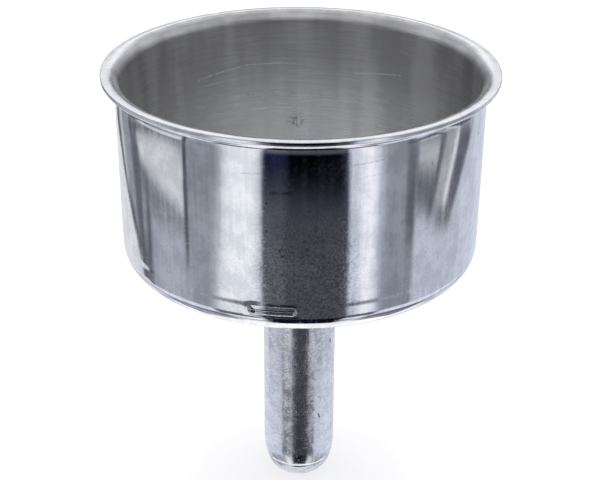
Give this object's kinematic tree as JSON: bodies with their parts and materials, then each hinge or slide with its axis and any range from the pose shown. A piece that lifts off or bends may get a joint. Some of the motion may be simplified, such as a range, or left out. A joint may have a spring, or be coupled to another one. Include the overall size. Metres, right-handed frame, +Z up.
{
  "type": "funnel",
  "caption": "Aluminium basket funnel: a straight cup with a flat lip and a strainer plate, draining through a narrow tube with a rounded nose.",
  "frame": {"origin": "on the axis, in the plane of the lip's underside, where the funnel rests when it hangs in a round opening", "axes": "+Z up along the funnel's axis, out of the open cup; the stem points along -Z; the stake seen from the front is near -Y"},
  "size_m": [0.07, 0.07, 0.0853],
  "materials": {
    "bowl_metal": "polished outside, satin inside, with fine drawing marks and scuffs",
    "plate_metal": "satin, punched",
    "stem_metal": "dull, slightly pitted"
  },
  "bodies": {
    "root": {"bowl": "bowl_metal", "strainer_plate": "plate_metal", "stem": "stem_metal"}
  },
  "joints": []
}
